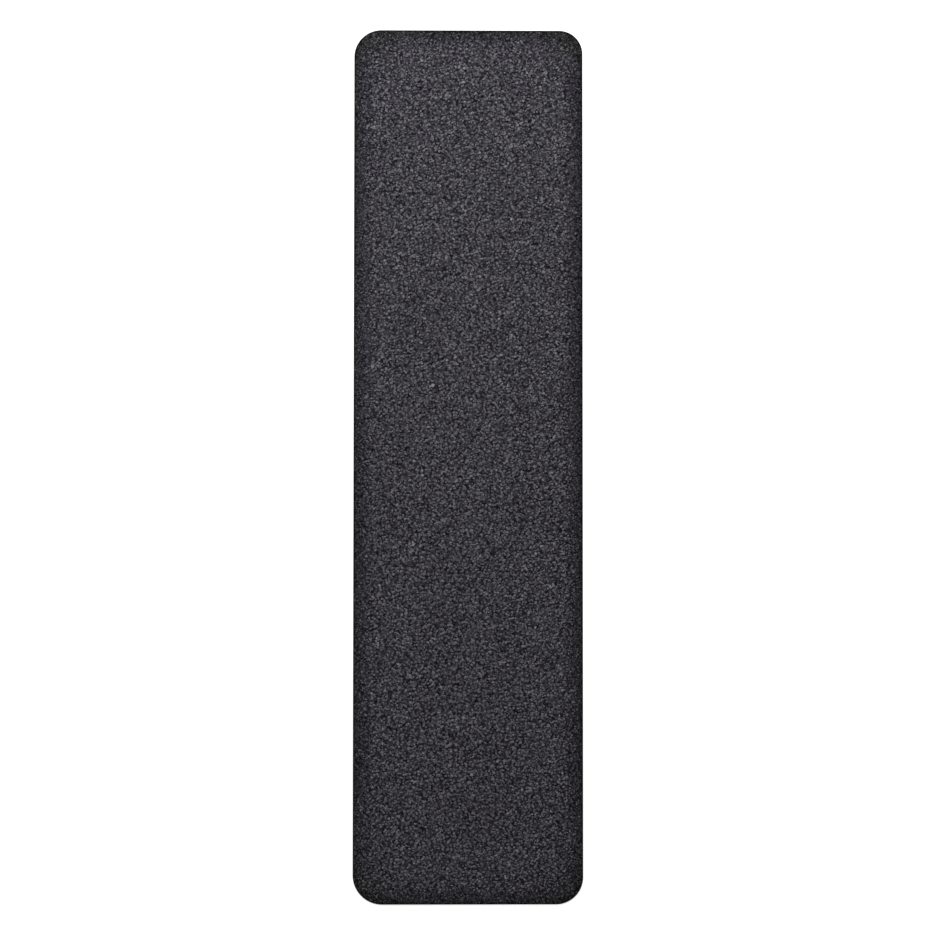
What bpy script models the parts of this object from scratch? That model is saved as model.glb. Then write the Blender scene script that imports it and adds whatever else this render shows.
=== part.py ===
"""Anti-slip tape strip: one die-cut length of self-adhesive film with mineral grit bonded to its face.

The strip lies flat with its adhesive side on z = 0, its length along Y, and the middle of its
outline at the origin. All sizes are in metres.
"""
import math

import bmesh
import bpy
import numpy as np
from mathutils import Vector
from mathutils.geometry import delaunay_2d_cdt

# Outline of the die-cut strip, seen from above the grit face
STRIP_WIDTH = 0.150
STRIP_LENGTH = 0.572
RADIUS_REAR_LEFT = 0.0179
RADIUS_REAR_RIGHT = 0.0153
RADIUS_FRONT_RIGHT = 0.0177
RADIUS_FRONT_LEFT = 0.0192
ARC_SPACING = 0.0028

# Section through the strip
RIM_THICKNESS = 0.0006
GRIT_COAT_RISE = 0.0008
BORDER_WIDTH = 0.013
BORDER_RINGS = 4

# Grit relief of the face: the spacing of its grains, and the height from pit to peak
GRAIN_SPACING = 0.0044
GRAIN_HEIGHT = 0.0007
GRAIN_SCATTER = 0.3
GRAIN_SEED = 24

# Charcoal mineral grit, dry and dull (linear colour)
GRIT_COLOUR = (0.0452, 0.0438, 0.0513, 1.0)
GRIT_ROUGHNESS = 0.9

# Points closer than this are one point to the triangulation
SAME_POINT = 1e-7


def clear_scene():
    """Remove every object that the scene holds."""
    for item in list(bpy.data.objects):
        bpy.data.objects.remove(item, do_unlink=True)


def corners():
    """Give each corner's side signs, its radius and the angle at which its arc begins."""
    return (
        (1, 1, RADIUS_REAR_RIGHT, 0.0),
        (-1, 1, RADIUS_REAR_LEFT, 0.5 * math.pi),
        (-1, -1, RADIUS_FRONT_LEFT, math.pi),
        (1, -1, RADIUS_FRONT_RIGHT, 1.5 * math.pi),
    )


def corner_arc(side_x, side_y, radius, begin, inset):
    """Points of one rounded corner on the outline drawn inwards by inset."""
    arc_radius = max(radius - inset, 0.0)
    centre_x = side_x * (STRIP_WIDTH / 2 - inset - arc_radius)
    centre_y = side_y * (STRIP_LENGTH / 2 - inset - arc_radius)
    quarter_turn = 0.5 * math.pi
    steps = round(quarter_turn * arc_radius / ARC_SPACING)
    if steps == 0:
        return [(centre_x, centre_y)]
    arc = []
    for step in range(steps + 1):
        angle = begin + quarter_turn * step / steps
        arc.append((centre_x + arc_radius * math.cos(angle), centre_y + arc_radius * math.sin(angle)))
    return arc


def straight_run(start, end):
    """Points between two corners, about one grain apart, with both ends left out."""
    parts = max(1, round(math.dist(start, end) / GRAIN_SPACING))
    run = []
    for part in range(1, parts):
        share = part / parts
        run.append((start[0] + (end[0] - start[0]) * share, start[1] + (end[1] - start[1]) * share))
    return run


def outline(inset):
    """Closed loop of points around the strip, drawn inwards by inset."""
    arcs = [corner_arc(*corner, inset) for corner in corners()]
    loop = []
    for arc, next_arc in zip(arcs, arcs[1:] + arcs[:1]):
        loop += arc
        loop += straight_run(arc[-1], next_arc[0])
    return loop


def distance_inside(x, y):
    """Distance from a point of the face to the nearest place on the outline."""
    nearest = min(STRIP_WIDTH / 2 - abs(x), STRIP_LENGTH / 2 - abs(y))
    for side_x, side_y, radius, _ in corners():
        beyond_x = side_x * x - (STRIP_WIDTH / 2 - radius)
        beyond_y = side_y * y - (STRIP_LENGTH / 2 - radius)
        if beyond_x > 0 and beyond_y > 0:
            nearest = min(nearest, radius - math.hypot(beyond_x, beyond_y))
    return nearest


def ring_inset(ring):
    """Inset of one ring of the eased border, closer together towards the rim."""
    return BORDER_WIDTH * (ring / BORDER_RINGS) ** 2


def coat_share(inset):
    """How much of the full grit coat stands at an inset: a quarter of an ellipse over the border."""
    remaining = 1.0 - min(max(inset, 0.0) / BORDER_WIDTH, 1.0)
    return math.sqrt(1.0 - remaining * remaining)


def grain_sites(random):
    """Scattered places of the grains inside the eased border."""
    row_step = GRAIN_SPACING * math.sqrt(3) / 2
    rows = int(STRIP_LENGTH / row_step)
    columns = int(STRIP_WIDTH / GRAIN_SPACING) + 1
    clear_of_border = BORDER_WIDTH + GRAIN_SPACING / 2
    sites = []
    for row in range(rows + 1):
        shift = 0.5 * (row % 2)
        for column in range(columns + 1):
            scatter = random.uniform(-GRAIN_SCATTER, GRAIN_SCATTER, 2)
            x = (column + shift + scatter[0]) * GRAIN_SPACING - STRIP_WIDTH / 2
            y = row * row_step + scatter[1] * GRAIN_SPACING - STRIP_LENGTH / 2
            if distance_inside(x, y) > clear_of_border:
                sites.append((x, y))
    return sites


def face_plan(random):
    """Plan of the grit face: its points, the edges of its rings, and the number of rim points."""
    points = outline(0.0)
    rim_count = len(points)
    ring_edges = []
    for ring in range(1, BORDER_RINGS + 1):
        loop = outline(ring_inset(ring))
        first = len(points)
        points += loop
        for index in range(len(loop)):
            ring_edges.append((first + index, first + (index + 1) % len(loop)))
    points += grain_sites(random)
    return points, ring_edges, rim_count


def face_height(x, y, random):
    """Height of the face over the adhesive: the coat, and a grain or a pit in it."""
    share = coat_share(distance_inside(x, y))
    grain = random.uniform(-0.5, 0.5) * GRAIN_HEIGHT
    return RIM_THICKNESS + share * (GRIT_COAT_RISE + grain)


def add_grit_face(mesh):
    """Add the grit face to the mesh, as triangles between its scattered grains."""
    random = np.random.default_rng(GRAIN_SEED)
    points, ring_edges, rim_count = face_plan(random)
    rim = list(range(rim_count))
    plan = [Vector(point) for point in points]
    inside_outline = 1
    plan, _, triangles, *_ = delaunay_2d_cdt(plan, ring_edges, [rim], inside_outline, SAME_POINT)
    vertices = []
    for index, (x, y) in enumerate(plan):
        height = RIM_THICKNESS if index < rim_count else face_height(x, y, random)
        vertices.append(mesh.verts.new((x, y, height)))
    for triangle in triangles:
        mesh.faces.new([vertices[index] for index in triangle])


def add_edge_and_underside(mesh):
    """Carry the rim straight down to z = 0, as the die cuts it, and close the adhesive side."""
    rim_edges = [edge for edge in mesh.edges if edge.is_boundary]
    cut = bmesh.ops.extrude_edge_only(mesh, edges=rim_edges)
    for item in cut["geom"]:
        if isinstance(item, bmesh.types.BMVert):
            item.co.z = 0.0
        if isinstance(item, bmesh.types.BMFace):
            item.smooth = True
    bottom_edges = [edge for edge in mesh.edges if edge.is_boundary]
    bmesh.ops.contextual_create(mesh, geom=bottom_edges)


def grit_material():
    """Dull charcoal mineral grit."""
    material = bpy.data.materials.new("grit")
    material.use_nodes = True
    shader = material.node_tree.nodes["Principled BSDF"]
    shader.inputs["Base Color"].default_value = GRIT_COLOUR
    shader.inputs["Roughness"].default_value = GRIT_ROUGHNESS
    shader.inputs["Metallic"].default_value = 0.0
    return material


def make_strip():
    """Model the strip as one closed solid."""
    mesh = bmesh.new()
    add_grit_face(mesh)
    add_edge_and_underside(mesh)
    bmesh.ops.recalc_face_normals(mesh, faces=mesh.faces)
    strip_mesh = bpy.data.meshes.new("grip_strip")
    mesh.to_mesh(strip_mesh)
    mesh.free()
    strip_mesh.materials.append(grit_material())
    strip = bpy.data.objects.new("grip_strip", strip_mesh)
    bpy.context.scene.collection.objects.link(strip)


clear_scene()
make_strip()
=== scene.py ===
"""Looks of the anti-slip tape strip: die-cut film, adhesive underside and a face of mineral grit.

The film, its adhesive and the resin coat are one closed piece, and the grains bonded to its face are
pieces of their own. Lengths are in metres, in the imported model's frame: +Y along the strip, +Z up
out of the grit.
"""
import math

import bpy
import numpy as np
from mathutils import Euler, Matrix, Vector
from mathutils.geometry import delaunay_2d_cdt


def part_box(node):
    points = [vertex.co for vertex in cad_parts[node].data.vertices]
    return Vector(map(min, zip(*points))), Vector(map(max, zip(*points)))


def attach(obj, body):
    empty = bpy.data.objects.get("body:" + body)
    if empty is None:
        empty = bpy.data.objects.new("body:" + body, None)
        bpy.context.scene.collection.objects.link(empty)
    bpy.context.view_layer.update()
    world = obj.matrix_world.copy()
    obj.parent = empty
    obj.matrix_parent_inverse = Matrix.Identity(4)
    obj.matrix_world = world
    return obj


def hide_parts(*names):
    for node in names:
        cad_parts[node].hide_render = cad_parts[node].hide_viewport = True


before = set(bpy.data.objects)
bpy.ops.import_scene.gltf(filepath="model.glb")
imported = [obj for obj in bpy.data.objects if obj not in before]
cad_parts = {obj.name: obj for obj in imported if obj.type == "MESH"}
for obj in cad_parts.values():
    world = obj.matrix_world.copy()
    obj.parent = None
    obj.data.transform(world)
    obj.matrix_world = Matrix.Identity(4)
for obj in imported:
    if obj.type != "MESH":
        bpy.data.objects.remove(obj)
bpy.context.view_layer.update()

NODE = "grip_strip"
low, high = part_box(NODE)
WIDTH = high.x - low.x
LENGTH = high.y - low.y

# Corner radii of the die-cut outline
RADIUS_REAR_RIGHT = 0.0153
RADIUS_REAR_LEFT = 0.0179
RADIUS_FRONT_LEFT = 0.0192
RADIUS_FRONT_RIGHT = 0.0177

# Section: film at the bottom, then the resin coat, which eases down to the rim over the border
FILM_THICKNESS = 0.00022
RIM_THICKNESS = 0.0005
COAT_RISE = 0.0004
BORDER_WIDTH = 0.013

# Resin coat between the grains: the step of its mesh, how far inside the outline its scattered
# points begin, and its height from pit to peak
COAT_STEP = 0.0014
COAT_MARGIN = 0.6 * COAT_STEP
COAT_RELIEF = 0.0005
COAT_SEED = 11

# Pressed rim: the share of the relief that is left there, and the levels of the coat along it, where
# a pit is at -0.5 and a peak at 0.5
RIM_SHARE = 0.4
RIM_LEVELS = (-0.3, 0.0)

# Ragged cut of the coat: how far it goes, and the shares of that by which the coat's foot and its
# rim stand back from the edge of the film
COAT_RAGGEDNESS = 0.0004
FOOT_SET_BACK = (0.1, 0.4)
RIM_SET_BACK = (0.3, 1.0)

# Step of the mesh of the flat underside
UNDERSIDE_STEP = 0.008

# Distance between the rows of a triangular lattice, as a share of its step
ROW_SHARE = math.sqrt(3) / 2

# Points closer than this are one point to the triangulation
SAME_POINT = 1e-8

# Material slots of the strip's mesh
COAT, FILM, ADHESIVE = range(3)

# Size bands of the grains: name, sides, step of their lattice, least and greatest radius, and seed
GRAIN_BANDS = (
    ("coarse_grains", 4, 0.00370, (0.00095, 0.00128), 21),
    ("middle_grains", 4, 0.00252, (0.00068, 0.00094), 22),
    ("fine_grains", 3, 0.00212, (0.00052, 0.00077), 23),
)

# Form of a grain: half its height as a share of its radius, the scatter of its corners, and how flat
# it lies
GRAIN_HALF_HEIGHT = 0.6
GRAIN_CORNER_SCATTER = 0.28
GRAIN_FLATNESS = 0.85

# Seat of a grain: how far its top stands out of the coat, at most what share of its height that is,
# and how far it stays above the film
GRAIN_STAND = (0.0003, 0.00085)
GRAIN_PROUD = 0.65
GRAIN_CLEARANCE = 0.00002

# Tones of the grains, and of the facets of the coat, around a mean of 1: their spread, their tail
# towards dark (less for a longer one) and the darkest that they may be
TONE_SPREAD = 0.37
TONE_TAIL = 12.0
TONE_LEAST = 0.04

# Spread of the tones of a grain's facets, around the grain's own
FACET_SPREAD = 0.2

# Painted light and shade of the relief: tone of the coat on a peak and in a pit, and of a grain at its
# top and one radius below it, lighter up top and darker down in the coat
COAT_PAINTED_SHADES = (1.5, 0.1)
# Painted shade: a grain is darker towards its foot in the coat and lighter at its top
GRAIN_PAINTED_SHADES = (1.15, 0.6)

# Greys of the grains and the coat (linear colour)
GRAIN_GREY = 0.0938
COAT_GREY = 0.0284

# Tint of the grit at the rim and the corners, what the open face adds to it, and a painted bluish
# reflection added over the open face
RIM_TINT = (1.008, 1.0, 0.985)
FACE_TINT = (0.010, 0.0, 0.108)
PAINTED_REFLECTION = (0.0013, 0.0, 0.0044)

# The open face's tint and painted reflection: how far inside the outline they are full, and how far
# from a corner they begin and are full
COOL_WIDTH = 0.0065
COOL_CORNER = (0.007, 0.028)

# Painted shade along the border: share of the grit's tone that is left at the left and the right rim,
# where the right is darker, and in a corner, with how far from the corner it is full again
RIM_SHADES = (0.56, 0.44)
CORNER_SHADE = 0.78
CORNER_REACH = 0.045

# Share of the grit's tone that is left along the cut, and how wide that dark line is
CUT_TONE = 0.43
CUT_WIDTH = 0.0016

# Cloudy mottling of the face: clouds for each metre, their detail, and the darkest and palest tone
MOTTLE_SCALE = 125.0
MOTTLE_DETAIL = 1.0
MOTTLE_TONES = (0.9, 1.1)

# Fine pits in the grit: pits for each metre, their detail, and their bump
FINE_SCALE = 1500.0
FINE_DETAIL = 3.0
FINE_STRENGTH = 0.3
FINE_DEPTH = 0.0001

# Dry surfaces of the grit: how rough they are and how much they reflect, and how far the roughness
# goes up and down with the fine pits
COAT_ROUGHNESS = 0.85
COAT_SPECULAR = 0.05
GRAIN_ROUGHNESS = 0.65
GRAIN_SPECULAR = 0.1
ROUGHNESS_SPREAD = 0.1

# Cut edge of the film: its colour (linear), torn places for each metre, their tones and roughness
FILM_COLOUR = (0.012, 0.012, 0.013)
TEAR_SCALE = 900.0
TEAR_TONES = (0.7, 1.3)
FILM_ROUGHNESS = (0.35, 0.6)

# Adhesive: its colour (linear), its roughness, and the tones of its coating lines and its blotches
ADHESIVE_COLOUR = (0.034, 0.032, 0.029)
ADHESIVE_ROUGHNESS = (0.28, 0.45)
ADHESIVE_TONES = (0.85, 1.15)

# Coating lines for each metre of width, how much they are drawn out along Y, and their bump
LINE_SCALE = 500.0
LINE_STRETCH = (1.0, 0.03, 1.0)
LINE_STRENGTH = 0.3
LINE_DEPTH = 0.0001

# Blotches of the adhesive for each metre
BLOTCH_SCALE = 35.0

# Noise stays mostly between these two values
NOISE_RANGE = (0.3, 0.7)

# Camera: almost straight above, a little towards the front end and the left side
LENS = 85.0
SENSOR = 36.0
CLIP_START = 0.01
CAMERA_DISTANCE = 1.4462
CAMERA_TURN = Euler((math.radians(1.775), math.radians(-0.80), math.radians(0.032)))
AIM = Vector((0.00020, -0.00241, 0.001))

# Light: a key lamp beyond the rear end, and an even fill from the world
KEY_PLACE = Vector((-0.23, 1.03, 0.947))
KEY_SIDE = 0.34
KEY_POWER = 23.7
FILL_STRENGTH = 0.12

# Pale floor: its size, its gap to the strip and its colour, and the glow that the camera sees near
# the strip, which rises to full white between two distances from the strip's middle
FLOOR_SIDE = 12.0
FLOOR_GAP = 0.0002
FLOOR_COLOUR = (0.5, 0.5, 0.5, 1.0)
FLOOR_GLOW = 0.74
FLOOR_GLOW_REACH = (0.3, 0.9)

# Colour of the fill light and of the floor's glow
WHITE = (1.0, 1.0, 1.0, 1.0)


def corners():
    """Each corner's side signs, radius and the angle at which its arc begins."""
    return (
        (1, 1, RADIUS_REAR_RIGHT, 0.0),
        (-1, 1, RADIUS_REAR_LEFT, 0.5 * math.pi),
        (-1, -1, RADIUS_FRONT_LEFT, math.pi),
        (1, -1, RADIUS_FRONT_RIGHT, 1.5 * math.pi),
    )


def straight_run(start, end, step):
    """Points between two others, with both ends left out."""
    count = round(float(np.hypot(*(end - start))) / step)
    share = np.arange(1, count)[:, None] / count
    return start + (end - start) * share


def outline(step):
    """Points of the die-cut outline, counter-clockwise, about one step apart."""
    loop = []
    for side_x, side_y, radius, begin in corners():
        centre = np.array([side_x * (WIDTH / 2 - radius), side_y * (LENGTH / 2 - radius)])
        count = round(0.5 * math.pi * radius / step)
        angles = begin + 0.5 * math.pi * np.arange(count + 1) / count
        arc = centre + radius * np.stack([np.cos(angles), np.sin(angles)], 1)
        if loop:
            loop.append(straight_run(loop[-1][-1], arc[0], step))
        loop.append(arc)
    loop.append(straight_run(loop[-1][-1], loop[0][0], step))
    return np.concatenate(loop)


def outward(loop):
    """Unit directions out of a counter-clockwise loop, at its points."""
    along = np.roll(loop, -1, axis=0) - np.roll(loop, 1, axis=0)
    out = np.stack([along[:, 1], -along[:, 0]], 1)
    return out / np.linalg.norm(out, axis=1, keepdims=True)


def set_back(loop, shares, rng):
    """A loop drawn inwards, at each point by a random share of the coat's raggedness."""
    return loop - outward(loop) * rng.uniform(*shares, (len(loop), 1)) * COAT_RAGGEDNESS


def inset_of(places):
    """Distance of each place inside the outline."""
    x, y = places[:, 0], places[:, 1]
    inset = np.minimum(WIDTH / 2 - np.abs(x), LENGTH / 2 - np.abs(y))
    for side_x, side_y, radius, _ in corners():
        beyond_x = side_x * x - (WIDTH / 2 - radius)
        beyond_y = side_y * y - (LENGTH / 2 - radius)
        in_corner = (beyond_x > 0) & (beyond_y > 0)
        rounded = radius - np.hypot(beyond_x, beyond_y)
        inset = np.where(in_corner, np.minimum(inset, rounded), inset)
    return inset


def corner_distance(places):
    """Distance of each place from the nearest corner that the strip had before it was rounded."""
    return np.hypot(WIDTH / 2 - np.abs(places[:, 0]), LENGTH / 2 - np.abs(places[:, 1]))


def lattice(step):
    """Places of a triangular lattice over the whole strip and a little past it."""
    row_step = step * ROW_SHARE
    rows = np.arange(-1, int(LENGTH / row_step) + 3)
    columns = np.arange(-1, int(WIDTH / step) + 3)
    column, row = np.meshgrid(columns, rows)
    x = (column + 0.5 * (row % 2)) * step - WIDTH / 2
    y = row * row_step - LENGTH / 2
    return np.stack([x.ravel(), y.ravel()], 1)


def within(places, margin):
    """Those of the places that lie further than a margin inside the outline."""
    return places[inset_of(places) > margin]


def scattered(step, margin, rng):
    """Places about one step apart and in no rows: each lies anywhere in its own cell of a lattice."""
    places = lattice(step)
    places += rng.uniform(-0.5, 0.5, places.shape) * (step, step * ROW_SHARE)
    return within(places, margin)


def triangulate(loop, inner):
    """Triangles over a closed loop and the places inside it."""
    places = [Vector(place) for place in np.concatenate([loop, inner]).tolist()]
    face = list(range(len(loop)))
    inside_loop = 1
    points, _, triangles, *_ = delaunay_2d_cdt(places, [], [face], inside_loop, SAME_POINT)
    if len(points) != len(places):
        raise ValueError("two places of the face fell together")
    return np.array(triangles)


def coat_height(inset):
    """Height of the grit coat's middle over the underside: it eases up from the rim."""
    share = np.clip(inset / BORDER_WIDTH, 0, 1)
    return RIM_THICKNESS + COAT_RISE * share * share * (3 - 2 * share)


def relief_share(inset):
    """Share of the full relief: less over the pressed border, and least at the rim."""
    return RIM_SHARE + (1 - RIM_SHARE) * np.clip(inset / BORDER_WIDTH, 0, 1)


def coat_face(rim, rng):
    """Coat inside a rim: its places, heights over the underside, levels (-0.5 to 0.5) and triangles."""
    inner = scattered(COAT_STEP, COAT_MARGIN, rng)
    inner_levels = rng.uniform(-0.5, 0.5, len(inner))
    rim_levels = rng.uniform(*RIM_LEVELS, len(rim))
    levels = np.concatenate([rim_levels, inner_levels])
    inset = np.concatenate([np.zeros(len(rim)), inset_of(inner)])
    heights = coat_height(inset) + COAT_RELIEF * relief_share(inset) * levels
    return np.concatenate([rim, inner]), heights, levels, triangulate(rim, inner)


def at_height(places, height):
    """Places of the plan at one height, or each at a height of its own."""
    return np.column_stack([places, np.broadcast_to(height, len(places))])


def band_faces(lower, upper, count):
    """Quads between two loops, given the first vertex of each."""
    here = np.arange(count)
    after = (here + 1) % count
    return np.stack([lower + here, lower + after, upper + after, upper + here], 1)


def strip_form():
    """Vertices of the closed strip, its groups of faces, and each vertex's pit: 0 on a peak to 1."""
    rng = np.random.default_rng(COAT_SEED)
    film = outline(COAT_STEP)
    foot = set_back(film, FOOT_SET_BACK, rng)
    rim = set_back(film, RIM_SET_BACK, rng)
    face, heights, levels, face_triangles = coat_face(rim, rng)
    under = within(lattice(UNDERSIDE_STEP), UNDERSIDE_STEP / 2)
    underside = triangulate(film, under)[:, ::-1]
    layers = [
        at_height(film, 0.0),
        at_height(under, 0.0),
        at_height(film, FILM_THICKNESS),
        at_height(foot, FILM_THICKNESS),
        at_height(face, heights),
    ]
    count = len(film)
    film_top, foot_start, face_start = np.cumsum([len(layer) for layer in layers])[1:4]
    groups = [
        (face_triangles + face_start, COAT),
        (band_faces(foot_start, face_start, count), COAT),
        (band_faces(film_top, foot_start, count), FILM),
        (band_faces(0, film_top, count), FILM),
        (underside, ADHESIVE),
    ]
    pits = 0.5 - np.concatenate([np.zeros(face_start), levels])
    return np.concatenate(layers), groups, pits


def grain_form(sides):
    """Corners of an upright antiprism of radius 1, and its triangles, facing out."""
    half_step = math.pi / sides
    turns = np.arange(sides) * 2 * half_step
    upper = np.column_stack([np.cos(turns), np.sin(turns), np.full(sides, GRAIN_HALF_HEIGHT)])
    turns += half_step
    lower = np.column_stack([np.cos(turns), np.sin(turns), np.full(sides, -GRAIN_HALF_HEIGHT)])
    triangles = []
    for here in range(1, sides - 1):
        triangles.append((0, here, here + 1))
        triangles.append((sides, sides + here + 1, sides + here))
    for here in range(sides):
        after = (here + 1) % sides
        triangles.append((here, sides + here, after))
        triangles.append((sides + here, sides + after, after))
    return np.concatenate([upper, lower]), np.array(triangles)


def grain_places(step, radii, rng):
    """Where the grains of one size band lie, how far inside the outline, and their radii."""
    places = scattered(step, radii[0], rng)
    inset = inset_of(places)
    radius = rng.uniform(*radii, len(places)) * np.sqrt(relief_share(inset))
    fits = inset > radius
    return places[fits], inset[fits], radius[fits]


def random_turns(count, rng):
    """Random rotation matrices, evenly spread, from random unit quaternions."""
    quaternions = rng.normal(size=(4, count))
    w, x, y, z = quaternions / np.linalg.norm(quaternions, axis=0)
    rows = [
        [1 - 2 * (y * y + z * z), 2 * (x * y - w * z), 2 * (x * z + w * y)],
        [2 * (x * y + w * z), 1 - 2 * (x * x + z * z), 2 * (y * z - w * x)],
        [2 * (x * z - w * y), 2 * (y * z + w * x), 1 - 2 * (x * x + y * y)],
    ]
    return np.moveaxis(np.array(rows), 2, 0)


def grain_chips(form, radius, rng):
    """Corners of every grain around its own middle: one form, worn, turned at random and flattened."""
    count = len(radius)
    least, most = 1 - GRAIN_CORNER_SCATTER, 1 + GRAIN_CORNER_SCATTER
    wear = rng.uniform(least, most, (count, len(form), 3))
    chips = (form * wear) @ random_turns(count, rng).transpose(0, 2, 1)
    return chips * (radius[:, None, None] * np.array([1, 1, GRAIN_FLATNESS]))


def seat_grains(grains, places, inset, rng):
    """Move every grain to its place, part sunk in the coat and clear of the film."""
    stand = rng.uniform(*GRAIN_STAND, len(grains)) * relief_share(inset)
    stand = np.minimum(stand, GRAIN_PROUD * np.ptp(grains[:, :, 2], axis=1))
    top = coat_height(inset) + stand
    grains[:, :, 2] += (top - grains[:, :, 2].max(1))[:, None]
    grains[:, :, 2] = np.maximum(grains[:, :, 2], FILM_THICKNESS + GRAIN_CLEARANCE)
    grains[:, :, :2] += places[:, None, :]


def sunk_share(grains, radius):
    """How far each corner lies below its grain's top, where a whole radius or more is 1."""
    heights = grains[:, :, 2]
    return np.clip((heights.max(1, keepdims=True) - heights) / radius[:, None], 0, 1)


def random_tones(shape, rng):
    """Random multipliers with a mean of 1: most are a little above it, and a few far below."""
    draws = rng.gamma(TONE_TAIL, 1.0, shape)
    tones = 1 + TONE_SPREAD * (TONE_TAIL - draws) / math.sqrt(TONE_TAIL)
    return np.maximum(tones, TONE_LEAST)


def facet_tones(count, facets, rng):
    """Tone of each facet of every grain: the grain's own, times a smaller difference for the facet."""
    differences = np.maximum(rng.normal(1, FACET_SPREAD, (count, facets)), TONE_LEAST)
    return random_tones((count, 1), rng) * differences


def mesh_from(name, vertices, groups):
    """Mesh of groups of faces, each group with its material index."""
    loops = np.concatenate([faces.ravel() for faces, _ in groups])
    sizes = np.concatenate([np.full(len(faces), faces.shape[1]) for faces, _ in groups])
    starts = np.concatenate([[0], np.cumsum(sizes)[:-1]])
    slots = np.concatenate([np.full(len(faces), slot) for faces, slot in groups])
    mesh = bpy.data.meshes.new(name)
    mesh.vertices.add(len(vertices))
    mesh.vertices.foreach_set("co", vertices.astype(np.float32).ravel())
    mesh.loops.add(len(loops))
    mesh.loops.foreach_set("vertex_index", loops.astype(np.int32))
    mesh.polygons.add(len(sizes))
    mesh.polygons.foreach_set("loop_start", starts.astype(np.int32))
    mesh.polygons.foreach_set("material_index", slots.astype(np.int32))
    mesh.update(calc_edges=True)
    mesh.shade_flat()
    if mesh.validate(verbose=False):
        raise ValueError(f"the mesh of {name} had bad faces")
    return mesh


def add_values(mesh, name, domain, values):
    """Store one number per point or face, for the material to read."""
    layer = mesh.attributes.new(name, "FLOAT", domain)
    layer.data.foreach_set("value", values.astype(np.float32).ravel())


def add_object(name, data):
    """New object in the scene."""
    made = bpy.data.objects.new(name, data)
    bpy.context.scene.collection.objects.link(made)
    return made


def add_piece(name, mesh, materials):
    """A finished piece of the strip, which rides with it and stands for its solid."""
    for material in materials:
        mesh.materials.append(material)
    piece = add_object(name, mesh)
    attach(piece, "root")
    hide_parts(NODE)


class Nodes:
    """Adds nodes to their owner, a material or a world, and links them.

    Sockets are given by name or number.
    """

    def __init__(self, owner, shader="Principled BSDF"):
        owner.use_nodes = True
        self.owner = owner
        self.tree = owner.node_tree
        self.shader = self.tree.nodes[shader]

    def add(self, kind, inputs=None, **settings):
        """New node; an input is a number, a colour or another node's output."""
        made = self.tree.nodes.new(kind)
        for key, value in settings.items():
            setattr(made, key, value)
        for key, value in (inputs or {}).items():
            self.feed(made.inputs[key], value)
        return made

    def feed(self, socket, value):
        """Set a socket to a value, or link an output to it."""
        if isinstance(value, bpy.types.NodeSocket):
            self.tree.links.new(value, socket)
        else:
            socket.default_value = value

    def set(self, name, value):
        """Set one of the shader's own sockets, or link an output to it."""
        self.feed(self.shader.inputs[name], value)

    def read(self, name):
        """A stored number of the mesh."""
        return self.add("ShaderNodeAttribute", attribute_name=name).outputs["Fac"]

    def places(self):
        """The object's own coordinates."""
        return self.add("ShaderNodeTexCoord").outputs["Object"]

    def noise(self, places, scale, detail=2.0):
        """Cloudy noise at the places, with about this many clouds for each metre."""
        inputs = {"Vector": places, "Scale": scale, "Detail": detail}
        return self.add("ShaderNodeTexNoise", inputs).outputs["Fac"]

    def math(self, operation, first, second):
        """What an operation makes of two numbers."""
        return self.add("ShaderNodeMath", {0: first, 1: second}, operation=operation).outputs[0]

    def product(self, first, *others):
        """Numbers multiplied together."""
        for other in others:
            first = self.math("MULTIPLY", first, other)
        return first

    def map(self, value, source, target, kind="LINEAR"):
        """A number moved from one range to another, and kept inside that."""
        inputs = {"Value": value, "From Min": source[0], "From Max": source[1]}
        inputs |= {"To Min": target[0], "To Max": target[1]}
        return self.add("ShaderNodeMapRange", inputs, interpolation_type=kind).outputs["Result"]

    def vectors(self, operation, inputs, output="Vector"):
        """What an operation makes of colours or coordinates."""
        return self.add("ShaderNodeVectorMath", inputs, operation=operation).outputs[output]

    def dim(self, colour, by):
        """A colour times a number."""
        return self.vectors("SCALE", {0: colour, "Scale": by})

    def total(self, first, second):
        """Two colours added."""
        return self.vectors("ADD", {0: first, 1: second})

    def bump(self, height, strength, depth):
        """Give the shader a bump."""
        inputs = {"Strength": strength, "Distance": depth, "Height": height}
        self.set("Normal", self.add("ShaderNodeBump", inputs).outputs["Normal"])

    def seen_directly(self):
        """1 for what the camera, a mirror or glass sees, and 0 for light that falls on things."""
        rays = self.add("ShaderNodeLightPath").outputs
        seen = self.math("MAXIMUM", rays["Is Camera Ray"], rays["Is Glossy Ray"])
        return self.math("MAXIMUM", seen, rays["Is Transmission Ray"])


def face_tone_and_shade(nodes):
    """Tone over the whole face: cloudy, with painted shade towards the pressed rim and the corners,
    darkest at the cut.
    """
    inset = nodes.read("inset")
    across = nodes.add("ShaderNodeSeparateXYZ", {0: nodes.places()}).outputs["X"]
    # Painted shade: darker towards the rim, more so on the right side, and in the corners
    rim_shade = nodes.map(across, (-WIDTH / 2, WIDTH / 2), RIM_SHADES)
    border = nodes.map(inset, (0.0, BORDER_WIDTH), (rim_shade, 1.0))
    corner = nodes.map(nodes.read("corner"), (0.0, CORNER_REACH), (CORNER_SHADE, 1.0))
    cut = nodes.map(inset, (0.0, CUT_WIDTH), (CUT_TONE, 1.0))
    clouds = nodes.noise(nodes.places(), MOTTLE_SCALE, MOTTLE_DETAIL)
    mottle = nodes.map(clouds, NOISE_RANGE, MOTTLE_TONES)
    return nodes.product(border, corner, cut, mottle)


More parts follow.
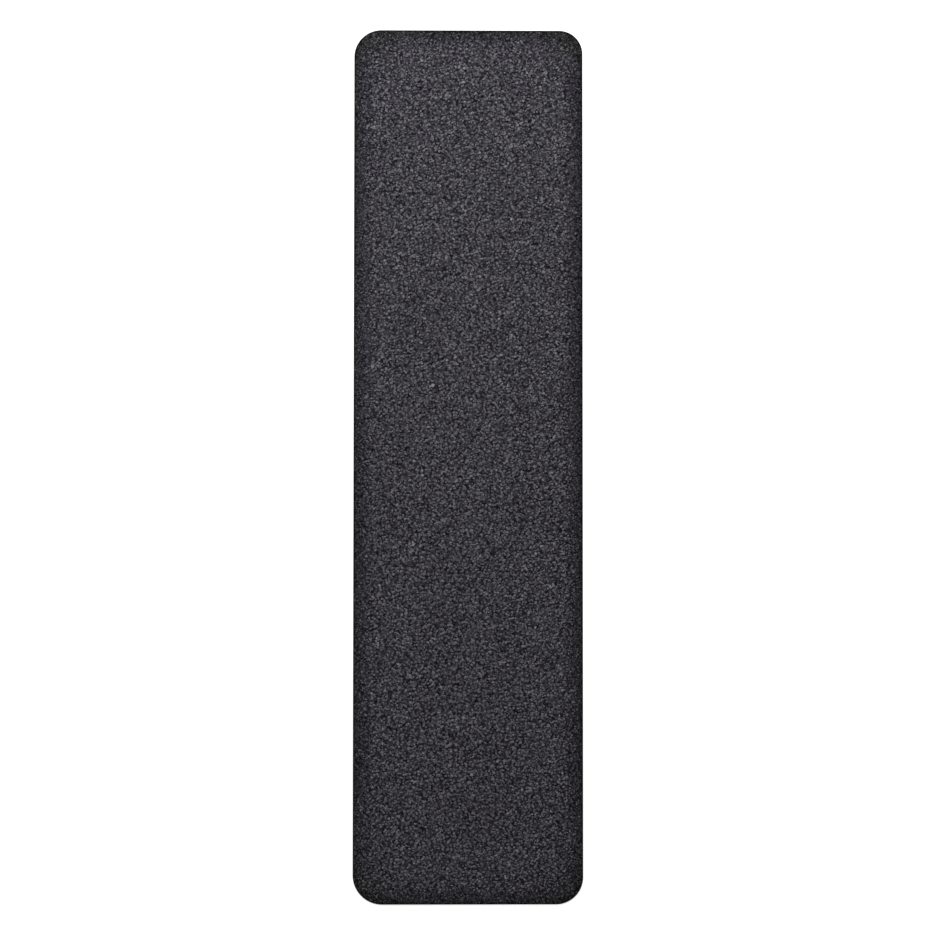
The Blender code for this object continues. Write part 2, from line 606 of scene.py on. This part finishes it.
def grit_colour(nodes, grey, painted_depth_shade):
    """Base colour of the grit: a grey by its tones and painted shade, cooler and with a painted bluish
    reflection added off the rim.
    """
    shade = nodes.product(nodes.read("tone"), painted_depth_shade, face_tone_and_shade(nodes), grey)
    off_rim = nodes.map(nodes.read("inset"), (0.0, COOL_WIDTH), (0.0, 1.0))
    off_corner = nodes.map(nodes.read("corner"), COOL_CORNER, (0.0, 1.0))
    cool = nodes.product(off_rim, off_corner)
    tint = nodes.total(RIM_TINT, nodes.dim(FACE_TINT, cool))
    # The painted reflection is a bluish colour added to the base colour over the open face
    nodes.set("Base Color", nodes.total(nodes.dim(tint, shade), nodes.dim(PAINTED_REFLECTION, cool)))


def grit_surface(nodes, roughness, specular):
    """Dry broken surface of the grit: fine pits, and a roughness that varies with them."""
    pits = nodes.noise(nodes.places(), FINE_SCALE, FINE_DETAIL)
    roughness_range = (roughness + ROUGHNESS_SPREAD, roughness - ROUGHNESS_SPREAD)
    nodes.bump(pits, FINE_STRENGTH, FINE_DEPTH)
    nodes.set("Roughness", nodes.map(pits, NOISE_RANGE, roughness_range))
    nodes.set("Specular IOR Level", specular)


def coat_material():
    """Dark resin with mineral dust in it, with painted light on its peaks and painted shade in its
    pits.
    """
    nodes = Nodes(bpy.data.materials.new("coat"))
    # Painted shade in the coat's pits and painted light on its peaks
    painted_depth_shade = nodes.map(nodes.read("pit"), (0.0, 1.0), COAT_PAINTED_SHADES)
    grit_colour(nodes, COAT_GREY, painted_depth_shade)
    grit_surface(nodes, COAT_ROUGHNESS, COAT_SPECULAR)
    return nodes.owner


def grain_material():
    """Dry charcoal mineral grains, each with a tone of its own, and with painted shade towards the
    foot.
    """
    nodes = Nodes(bpy.data.materials.new("grain"))
    # Painted shade: a grain is darker towards its foot in the coat and lighter at its top
    painted_depth_shade = nodes.map(nodes.read("sunk"), (0.0, 1.0), GRAIN_PAINTED_SHADES)
    grit_colour(nodes, GRAIN_GREY, painted_depth_shade)
    grit_surface(nodes, GRAIN_ROUGHNESS, GRAIN_SPECULAR)
    return nodes.owner


def film_material():
    """Cut edge of the plastic film, torn a little by the die."""
    nodes = Nodes(bpy.data.materials.new("film"))
    torn = nodes.noise(nodes.places(), TEAR_SCALE)
    nodes.set("Base Color", nodes.dim(FILM_COLOUR, nodes.map(torn, NOISE_RANGE, TEAR_TONES)))
    nodes.set("Roughness", nodes.map(torn, NOISE_RANGE, FILM_ROUGHNESS))
    return nodes.owner


def adhesive_material():
    """Tacky adhesive under the film, blotched, and with faint coating lines along the strip."""
    nodes = Nodes(bpy.data.materials.new("adhesive"))
    drawn_out = nodes.vectors("MULTIPLY", {0: nodes.places(), 1: LINE_STRETCH})
    lines = nodes.noise(drawn_out, LINE_SCALE)
    blotches = nodes.noise(nodes.places(), BLOTCH_SCALE)
    tones = [nodes.map(pattern, NOISE_RANGE, ADHESIVE_TONES) for pattern in (lines, blotches)]
    nodes.set("Base Color", nodes.dim(ADHESIVE_COLOUR, nodes.product(*tones)))
    nodes.set("Roughness", nodes.map(blotches, NOISE_RANGE, ADHESIVE_ROUGHNESS))
    nodes.bump(lines, LINE_STRENGTH, LINE_DEPTH)
    return nodes.owner


def floor_material():
    """Plain dull floor, which the camera sees as white where no shadow falls."""
    nodes = Nodes(bpy.data.materials.new("floor"))
    reach = nodes.vectors("LENGTH", {0: nodes.places()}, "Value")
    glow = nodes.map(reach, FLOOR_GLOW_REACH, (FLOOR_GLOW, 1.0), "SMOOTHSTEP")
    nodes.set("Base Color", FLOOR_COLOUR)
    nodes.set("Roughness", 1.0)
    nodes.set("Specular IOR Level", 0.0)
    nodes.set("Emission Color", WHITE)
    nodes.set("Emission Strength", nodes.product(nodes.seen_directly(), glow))
    return nodes.owner


def make_strip():
    """The strip itself: film, adhesive and the resin coat."""
    vertices, groups, pits = strip_form()
    mesh = mesh_from("strip", vertices, groups)
    rng = np.random.default_rng(COAT_SEED + 1)
    add_values(mesh, "tone", "FACE", random_tones(len(mesh.polygons), rng))
    add_values(mesh, "pit", "POINT", pits)
    add_values(mesh, "inset", "POINT", inset_of(vertices[:, :2]))
    add_values(mesh, "corner", "POINT", corner_distance(vertices[:, :2]))
    add_piece("grit_strip", mesh, (coat_material(), film_material(), adhesive_material()))


def make_grains(name, sides, step, radii, seed, material):
    """Grains of one size band over the whole face: angular chips of mineral, part sunk in the coat."""
    rng = np.random.default_rng(seed)
    places, inset, radius = grain_places(step, radii, rng)
    form, triangles = grain_form(sides)
    grains = grain_chips(form, radius, rng)
    seat_grains(grains, places, inset, rng)
    first_corner = len(form) * np.arange(len(grains))
    faces = triangles + first_corner[:, None, None]
    only_slot = 0
    mesh = mesh_from(name, grains.reshape(-1, 3), [(faces.reshape(-1, 3), only_slot)])
    add_values(mesh, "tone", "FACE", facet_tones(len(grains), len(triangles), rng))
    add_values(mesh, "sunk", "POINT", sunk_share(grains, radius))
    add_values(mesh, "inset", "POINT", np.repeat(inset, len(form)))
    add_values(mesh, "corner", "POINT", np.repeat(corner_distance(places), len(form)))
    add_piece(name, mesh, [material])


def make_camera():
    """Camera that looks down on the strip as the photograph does."""
    data = bpy.data.cameras.new("camera")
    data.lens = LENS
    data.sensor_width = SENSOR
    data.clip_start = CLIP_START
    camera = add_object("camera", data)
    camera.location = AIM + CAMERA_TURN.to_matrix() @ Vector((0, 0, CAMERA_DISTANCE))
    camera.rotation_euler = CAMERA_TURN
    bpy.context.scene.camera = camera


def make_key_lamp():
    """Large soft lamp beyond the rear end of the strip, aimed at its middle."""
    data = bpy.data.lights.new("key", "AREA")
    data.shape = "SQUARE"
    data.size = KEY_SIDE
    data.energy = KEY_POWER
    lamp = add_object("key", data)
    lamp.location = KEY_PLACE
    lamp.rotation_euler = (-KEY_PLACE).to_track_quat("-Z", "Y").to_euler()


def make_world():
    """Even fill light, seen as white."""
    world = bpy.data.worlds.new("world")
    nodes = Nodes(world, "Background")
    nodes.set("Color", WHITE)
    nodes.set("Strength", nodes.map(nodes.seen_directly(), (0.0, 1.0), (FILL_STRENGTH, 1.0)))
    bpy.context.scene.world = world


def make_floor():
    """Pale floor just under the strip."""
    half = FLOOR_SIDE / 2
    square = [(-half, -half, 0), (half, -half, 0), (half, half, 0), (-half, half, 0)]
    mesh = bpy.data.meshes.new("floor")
    mesh.from_pydata(square, [], [(0, 1, 2, 3)])
    mesh.materials.append(floor_material())
    floor = add_object("floor", mesh)
    floor.location.z = -FLOOR_GAP


make_strip()
mineral = grain_material()
for band in GRAIN_BANDS:
    make_grains(*band, mineral)
make_camera()
make_key_lamp()
make_world()
make_floor()
bpy.context.scene.view_settings.view_transform = "Standard"
